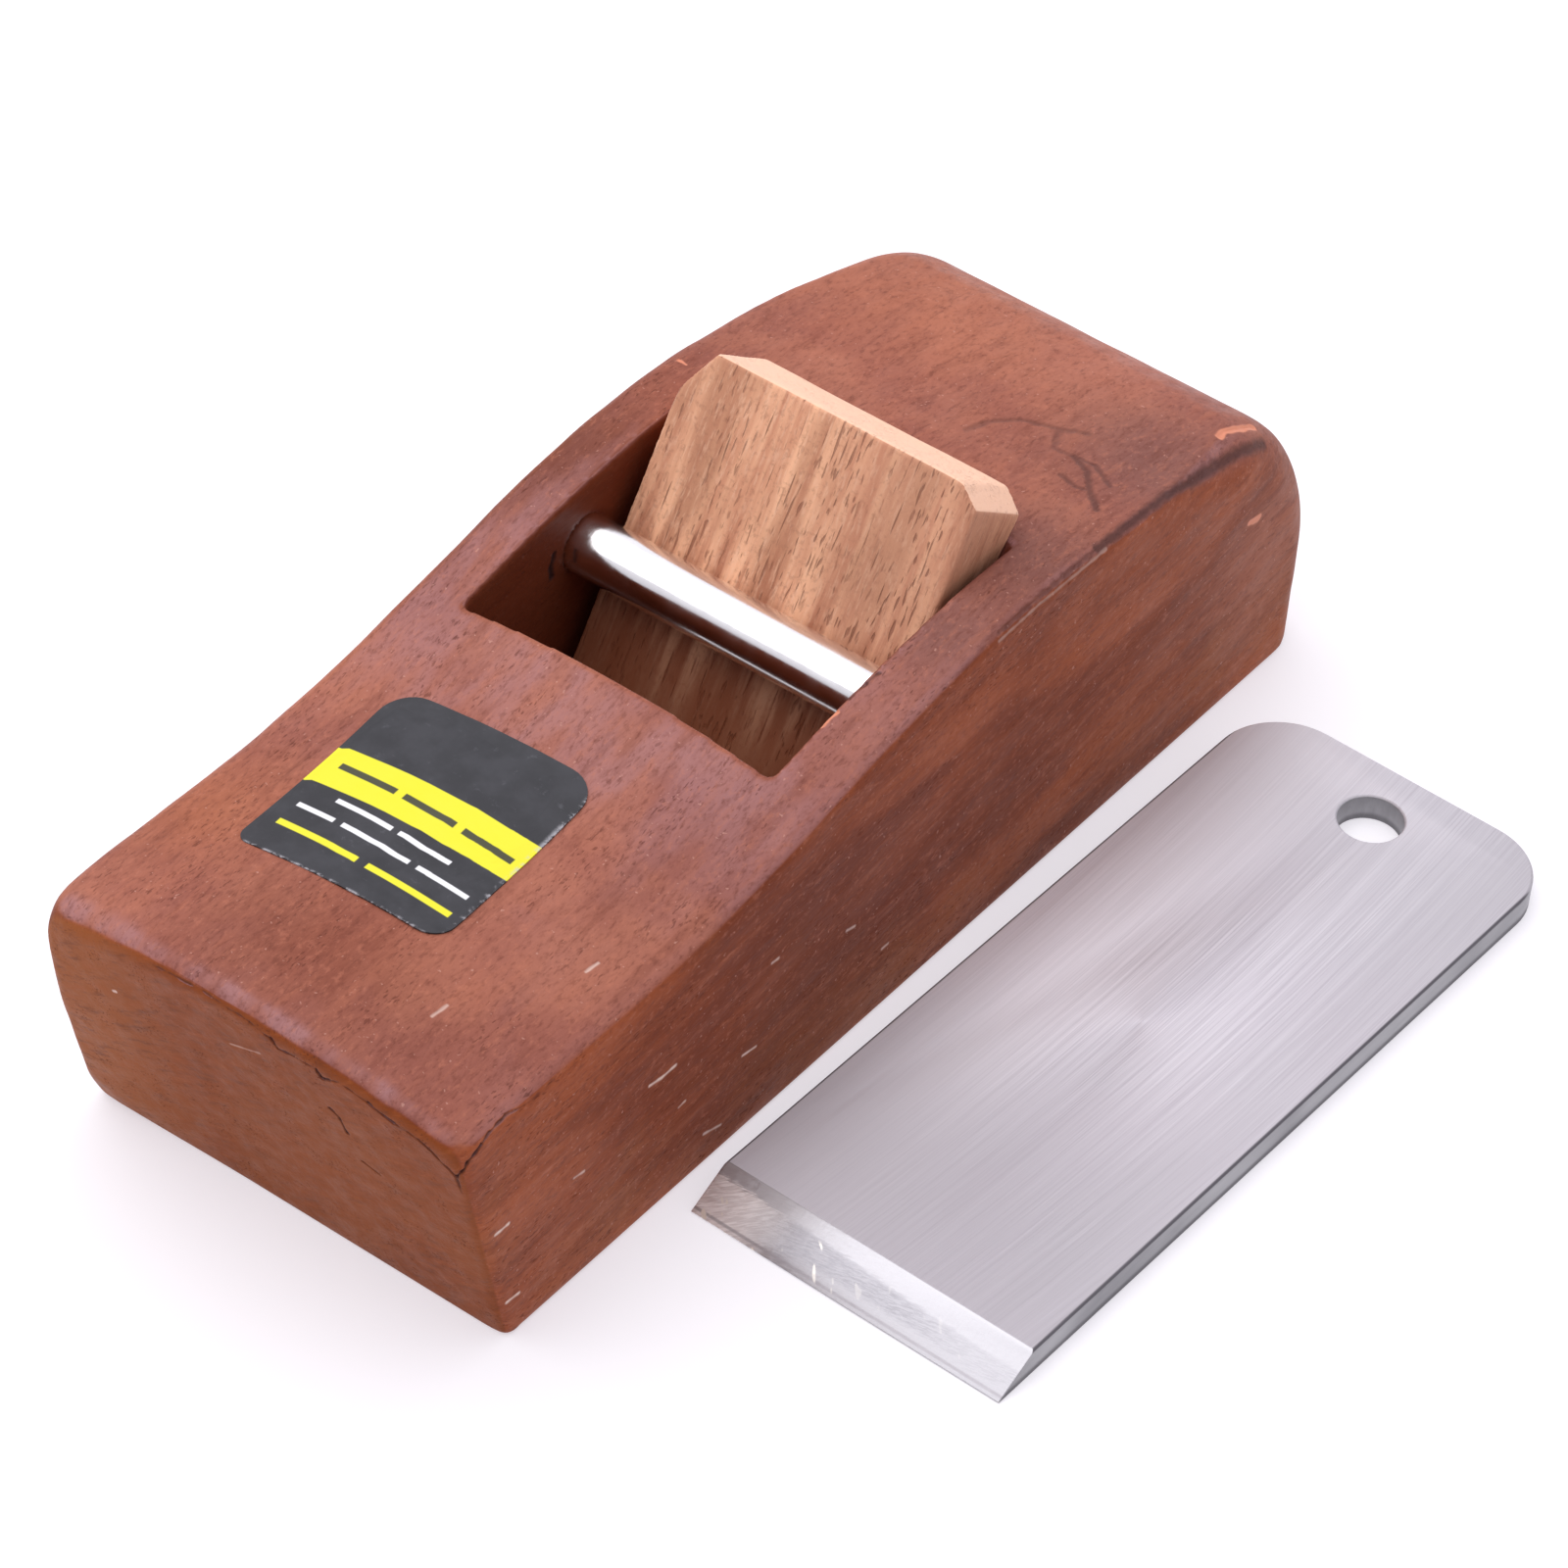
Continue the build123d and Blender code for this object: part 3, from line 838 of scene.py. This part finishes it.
def ground_flat(tree, across, along, height, lines_at, line, fine):
    """The flat's colour, with its long edges and its walls darker than its face, painted highlight and shade
    across its face, and painted shade low on its walls.
    """
    wide = noise(tree, lines_at, 0.3, 2, 0.5)
    cloud = noise(tree, place(tree), 0.06, 2)
    colour = blend(tree, ramp(tree, line, 0.3, 0.7), (0.58, 0.55, 0.59), (0.8, 0.775, 0.81))
    colour = blend(tree, ramp(tree, fine, 0.36, 0.5, 0.4, 0.0), colour, (0.42, 0.38, 0.43))
    colour = blend(tree, ramp(tree, fine, 0.54, 0.68, 0.0, 0.4), colour, (0.93, 0.91, 0.94))
    colour = blend(tree, ramp(tree, wide, 0.4, 0.65, 0.0, 0.25), colour, (0.77, 0.75, 0.78))
    colour = blend(tree, ramp(tree, cloud, 0.4, 0.65, 0.0, 0.2), colour, (0.7, 0.64, 0.69))

    # Painted highlight makes it brighter to the left, and painted shade makes it duller to the right and
    # towards both ends
    colour = blend(tree, ramp(tree, across, 6, -12, 0.0, 0.6), colour, (1.0, 0.97, 1.0))
    colour = blend(tree, ramp(tree, across, 3, 14, 0.0, 0.5), colour, (0.5, 0.475, 0.5))
    colour = blend(tree, ramp(tree, along, 4, -30, 0.0, 0.55), colour, (0.48, 0.455, 0.48))
    colour = blend(tree, ramp(tree, along, 5, 34, 0.0, 0.35), colour, (0.6, 0.585, 0.6))

    from_middle = calculate(tree, "ABSOLUTE", across)
    edge = ramp(tree, from_middle, IRON_HALF_WIDTH - 0.35, IRON_HALF_WIDTH - 0.15, 0.0, 0.9)
    colour = blend(tree, edge, colour, EDGE_GREY)
    # Painted shade darkens the walls towards their foot
    dark = blend(tree, ramp(tree, cloud, 0.4, 0.6), (0.42, 0.415, 0.43), (0.52, 0.515, 0.53))
    dark = blend(tree, ramp(tree, height, 0.9, 0.3, 0.0, 0.7), dark, (0.13, 0.125, 0.135))
    wall = ramp(tree, facing(tree, (0, 0, 1)), 0.75, 0.4, 0.0, 0.9)
    return blend(tree, wall, colour, dark)


def ground_bevel(tree, across, up_bevel, hatch, dull_left):
    """The bevel's colour: ground the other way, with a painted highlight along its top and over its right."""
    swirl = noise(tree, place(tree, turn=(0, 0, IRON_TURN - 55), size=(0.25, 4, 1)), 1.6, 3, 0.6, 0.5)
    grey = blend(tree, ramp(tree, hatch, 0.35, 0.65), (0.28, 0.27, 0.29), (0.44, 0.43, 0.455))
    dull = blend(tree, ramp(tree, swirl, 0.4, 0.62), (0.76, 0.72, 0.71), (0.96, 0.93, 0.92))
    grey = blend(tree, dull_left, grey, dull)

    # Painted highlight: a band along the bevel's top, a patch by the cutting edge, and the right side
    band_low = ramp(tree, across, -13, 15, 0.74, 0.55)
    band_low = calculate(tree, "ADD", band_low, ramp(tree, hatch, 0.3, 0.7, -0.04, 0.04))
    band = ramp(tree, calculate(tree, "SUBTRACT", up_bevel, band_low), -0.03, 0.05, 0.0, 0.9)
    near_edge = ramp(tree, up_bevel, 0.34, 0.2, 0.0, 0.6)
    near_edge = calculate(tree, "MULTIPLY", near_edge, ramp(tree, across, -9, -2))
    painted_highlight = calculate(tree, "MAXIMUM", band, near_edge)
    painted_highlight = calculate(tree, "MAXIMUM", painted_highlight, ramp(tree, across, 3, 12, 0.0, 0.5))
    bevel = blend(tree, painted_highlight, grey, blend(tree, hatch, (0.38, 0.37, 0.39), (0.58, 0.57, 0.59)))

    # A dark line along its top and another by the cutting edge, and scratches on the left
    bevel = blend(tree, ramp(tree, up_bevel, 0.985, 0.998, 0.0, 0.6), bevel, (0.24, 0.23, 0.25))
    edge_line = ramp(tree, up_bevel, 0.05, 0.08)
    edge_line = calculate(tree, "MULTIPLY", edge_line, ramp(tree, up_bevel, 0.13, 0.1, 0.0, 0.6))
    bevel = blend(tree, edge_line, bevel, (0.3, 0.28, 0.3))
    scratch = ramp(tree, noise(tree, place(tree, turn=(0, 0, 38), size=(1, 7, 1)), 1.3, 1, 0.5), 0.66, 0.72)
    scratch = calculate(tree, "MULTIPLY", scratch, ramp(tree, across, 2, -8, 0.1, 1.0))
    scratch = calculate(tree, "MULTIPLY", scratch, ramp(tree, up_bevel, 0.7, 0.6))
    return blend(tree, scratch, bevel, (0.9, 0.86, 0.78))


def iron_steel():
    material, tree, shader = new_material("iron_steel")
    here = place(tree, turn=(0, 0, IRON_TURN), shift=(*IRON_CENTRE, 0))
    across = part_of_place(tree, here, "X")
    along = part_of_place(tree, here, "Y")
    height = part_of_place(tree, here, "Z")
    lines_at = grinding_lines(tree, across, along, height)
    line = noise(tree, lines_at, 2.4, 5, 0.7)
    fine = noise(tree, lines_at, 8.0, 3, 0.7)
    flat = ground_flat(tree, across, along, height, lines_at, line, fine)

    # The bevel's own places: 0 at the cutting edge and 1 at its top, and its cross grinding
    up_bevel = calculate(tree, "DIVIDE", calculate(tree, "ADD", along, IRON_HALF_LENGTH), IRON_BEVEL_RUN)
    across_lines = place(tree, turn=(0, 0, IRON_TURN + 8), size=(1, 0.12, 1), shift=(*IRON_CENTRE, 0))
    hatch = noise(tree, across_lines, 0.9, 3, 0.7)
    dull_left = ramp(tree, across, -6.5, -12.5)
    bevel = ground_bevel(tree, across, up_bevel, hatch, dull_left)
    turn = math.radians(IRON_TURN)
    on_bevel = ramp(tree, facing(tree, (math.sin(turn), -math.cos(turn), 0)), 0.2, 0.35)
    on_bevel = calculate(tree, "MULTIPLY", on_bevel, ramp(tree, up_bevel, 1.02, 1.0))
    put(tree, shader.inputs["Base Color"], blend(tree, on_bevel, flat, bevel))

    rough = ramp(tree, line, 0.3, 0.7, 0.66, 0.78)
    bevel_rough = ramp(tree, hatch, 0.3, 0.7, 0.28, 0.42)
    bevel_rough = calculate(tree, "ADD", bevel_rough, ramp(tree, dull_left, 0, 1, 0, 0.15))
    change = calculate(tree, "MULTIPLY", on_bevel, calculate(tree, "SUBTRACT", bevel_rough, rough))
    put(tree, shader.inputs["Roughness"], calculate(tree, "ADD", rough, change))
    shader.inputs["Metallic"].default_value = 1.0
    shader.inputs["Anisotropic"].default_value = 0.3
    put(tree, shader.inputs["Normal"], bump(tree, fine, 0.005, bump(tree, line, 0.01)))
    return material


steel_iron = copy_of("iron", "steel_iron")
shape_iron(steel_iron)
steel_iron.data.materials.append(iron_steel())
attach(steel_iron, "iron")
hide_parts("iron")


# ---------------------------------------------------------------- label


LABEL_CORNERS = [(1, 1, 2.9), (-1, 1, 2.9), (-1, -1, 1.3), (1, -1, 2.2)]  # side, end, radius
LABEL_RINGS = 26
LABEL_BARS = [  # start and end across, middle along, height, ink
    (-8.3, -2.6, 0.35, 0.7, "dark"),
    (-1.8, 3.4, 0.35, 0.7, "dark"),
    (4.2, 9.2, 0.35, 0.7, "dark"),
    (-5.9, -0.3, -3.1, 0.5, "white"),
    (0.4, 5.6, -3.1, 0.5, "white"),
    (-8.3, -4.6, -5.1, 0.5, "white"),
    (-3.8, 3.0, -5.1, 0.5, "white"),
    (3.8, 8.9, -5.1, 0.5, "white"),
    (-8.4, -0.4, -7.5, 0.65, "yellow"),
    (0.6, 9.0, -7.5, 0.65, "yellow"),
]
LABEL_BAND = (-1.9, 2.7)  # where the yellow band starts and ends along the label
INKS = {"dark": (0.06, 0.06, 0.03), "white": (0.85, 0.85, 0.87), "yellow": (0.76, 0.72, 0.025)}
LABEL_SLANT = 0.035  # how far a bar runs towards the toe for each millimetre to the right
INK_EDGE = 0.06  # half the width over which the printing fades out
LABEL_UNDERSIDE = 0.03  # height over the body of the sheet's underside, and of its face
LABEL_FACE = 0.14


def label_outline():
    """The label's outline round its own middle, anticlockwise from its right side."""
    outline = []
    for corner, (side, end, radius) in enumerate(LABEL_CORNERS):
        for i in range(9):
            angle = math.pi / 2 * (corner + i / 8)
            across = side * (LABEL_WIDTH / 2 - radius) + radius * math.cos(angle)
            along = end * (LABEL_LENGTH / 2 - radius) + radius * math.sin(angle)
            outline.append((across, along, 0.0))
    return way_along(outline + outline[:1], 0.5)[:-1]


def shape_label(name):
    """A thin sheet of rings round its middle, laid over the crowned back."""
    low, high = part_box("label")
    centre = (low + high) / 2 / MM
    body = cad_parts["body"].data
    tree = BVHTree.FromPolygons([v.co / MM for v in body.vertices], [p.vertices[:] for p in body.polygons])
    turn = Matrix.Rotation(math.radians(LABEL_TURN), 3, "Z")
    outline = label_outline()
    places = [Vector((0, 0, 0))]
    for ring in range(1, LABEL_RINGS + 1):
        places += [Vector(corner) * ring / LABEL_RINGS for corner in outline]
    places += [Vector(corner) for corner in outline]
    spots = []
    for i, spot in enumerate(places):
        at = turn @ spot + Vector((centre.x, centre.y, 0))
        ground = tree.ray_cast(Vector((at.x, at.y, 60)), Vector((0, 0, -1)))[0].z
        height = LABEL_UNDERSIDE if i > LABEL_RINGS * len(outline) else LABEL_FACE
        spots.append(Vector((at.x, at.y, ground + height)) * MM)
    faces = []
    around = len(outline)
    for i in range(around):
        beside = (i + 1) % around
        faces.append((0, 1 + i, 1 + beside))
        for ring in range(LABEL_RINGS):
            inner = 1 + ring * around
            outer = inner + around
            faces.append((inner + i, outer + i, outer + beside, inner + beside))
    last = 1 + LABEL_RINGS * around
    faces.append(tuple(last + i for i in reversed(range(around))))
    mesh = bpy.data.meshes.new(name)
    mesh.from_pydata(spots, [], faces)
    piece = bpy.data.objects.new(name, mesh)
    scene.collection.objects.link(piece)
    shade_smooth(piece, 40)
    return piece


def label_sheet():
    material, tree, shader = new_material("label_sheet")
    low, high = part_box("label")
    centre = (low + high) / 2 / MM
    here = place(tree, turn=(0, 0, LABEL_TURN), shift=(centre.x, centre.y, 0))
    across = part_of_place(tree, here, "X")
    along = part_of_place(tree, here, "Y")
    smudge = noise(tree, place(tree), 0.3, 3, 0.6)
    scuff = noise(tree, place(tree), 1.1, 4, 0.7)
    black = blend(tree, ramp(tree, smudge, 0.35, 0.7), (0.022, 0.022, 0.026), (0.042, 0.042, 0.048))
    black = blend(tree, ramp(tree, scuff, 0.6, 0.75, 0.0, 0.25), black, (0.14, 0.14, 0.16))

    def between(value, low, high):
        above = ramp(tree, value, low - INK_EDGE, low + INK_EDGE)
        below = ramp(tree, value, high + INK_EDGE, high - INK_EDGE)
        return calculate(tree, "MULTIPLY", above, below)

    def bar(start, end, middle, height):
        """1 on a plain printed bar, which slants a little."""
        slanted = calculate(tree, "ADD", along, calculate(tree, "MULTIPLY", across, LABEL_SLANT))
        high = between(slanted, middle - height / 2, middle + height / 2)
        return calculate(tree, "MULTIPLY", high, between(across, start, end))

    colour = blend(tree, between(along, *LABEL_BAND), black, INKS["yellow"])
    for start, end, middle, height, ink in LABEL_BARS:
        colour = blend(tree, bar(start, end, middle, height), colour, INKS[ink])

    # The printing is rubbed off along the right and lower edges
    rubbed = ramp(tree, across, LABEL_WIDTH / 2 - 0.5, LABEL_WIDTH / 2)
    rubbed = calculate(tree, "MAXIMUM", rubbed, ramp(tree, along, 0.3 - LABEL_LENGTH / 2, -LABEL_LENGTH / 2))
    rubbed = calculate(tree, "MULTIPLY", rubbed, ramp(tree, scuff, 0.45, 0.6, 0.0, 0.7))
    colour = blend(tree, rubbed, colour, (0.5, 0.49, 0.52))
    put(tree, shader.inputs["Base Color"], colour)
    put(tree, shader.inputs["Roughness"], ramp(tree, smudge, 0.3, 0.7, 0.4, 0.6))
    shader.inputs["Specular IOR Level"].default_value = 0.3
    put(tree, shader.inputs["Normal"], bump(tree, scuff, 0.01))
    return material


paper_label = shape_label("paper_label")
paper_label.data.materials.append(label_sheet())
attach(paper_label, "plane_body")
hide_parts("label")


# ---------------------------------------------------------------- studio


def floor():
    material, tree, shader = new_material("studio_floor")
    mottle = noise(tree, place(tree), 0.01, 2)
    put(tree, shader.inputs["Base Color"], blend(tree, mottle, (0.55, 0.545, 0.55), (0.56, 0.555, 0.56)))
    shader.inputs["Roughness"].default_value = 0.9
    shader.inputs["Specular IOR Level"].default_value = 0.1
    shader.inputs["Emission Color"].default_value = (0.97, 0.94, 1.0, 1)
    shader.inputs["Emission Strength"].default_value = 0.5
    mesh = bpy.data.meshes.new("studio_floor")
    reach = 6.0
    corners = [(-reach, -reach, 0), (reach, -reach, 0), (reach, reach, 0), (-reach, reach, 0)]
    mesh.from_pydata(corners, [], [(0, 1, 2, 3)])
    piece = bpy.data.objects.new("studio_floor", mesh)
    piece.location.z = -0.00005
    mesh.materials.append(material)
    scene.collection.objects.link(piece)


def softbox(name, at, aim, size, power):
    light = bpy.data.lights.new(name, "AREA")
    light.shape = "RECTANGLE"
    light.size, light.size_y = size
    light.energy = power
    box = bpy.data.objects.new(name, light)
    box.location = at
    box.rotation_mode = "QUATERNION"
    box.rotation_quaternion = (Vector(aim) - Vector(at)).to_track_quat("-Z", "Y")
    scene.collection.objects.link(box)


def light_tent():
    """The room: brighter above the heel's far corner, and dimmer on the side of the iron."""
    world = bpy.data.worlds.new("studio")
    world.use_nodes = True
    tent = world.node_tree
    direction = tent.nodes.new("ShaderNodeTexCoord")
    towards_light = tent.nodes.new("ShaderNodeVectorMath")
    towards_light.operation = "DOT_PRODUCT"
    tent.links.new(direction.outputs["Generated"], towards_light.inputs[0])
    towards_light.inputs[1].default_value = (-0.6, 0.35, 0.72)
    strength = ramp(tent, towards_light.outputs["Value"], -1.0, 1.0, 0.22, 1.1)
    tent.links.new(strength, tent.nodes["Background"].inputs["Strength"])
    tent.nodes["Background"].inputs["Color"].default_value = (0.95, 0.93, 1.0, 1)
    scene.world = world


def set_camera(at, aim, roll, lens):
    """A camera at a place, aimed at another and rolled by degrees."""
    camera_data = bpy.data.cameras.new("camera")
    camera_data.sensor_width = 36
    camera_data.lens = lens
    camera = bpy.data.objects.new("camera", camera_data)
    looking = (Vector(aim) - Vector(at)).to_track_quat("-Z", "Y")
    camera.rotation_mode = "QUATERNION"
    camera.rotation_quaternion = looking @ Matrix.Rotation(math.radians(roll), 3, "Z").to_quaternion()
    camera.location = at
    scene.collection.objects.link(camera)
    scene.camera = camera


floor()
softbox("overhead", at=(-0.32, -0.12, 0.9), aim=(0, 0, 0), size=(1.3, 1.25), power=7.0)
light_tent()
scene.view_settings.view_transform = "Standard"
scene.view_settings.look = "None"
set_camera(at=(0.23099, -0.34154, 0.38081), aim=(-0.00137, 0.0094, 0.0), roll=5.186, lens=151.43)
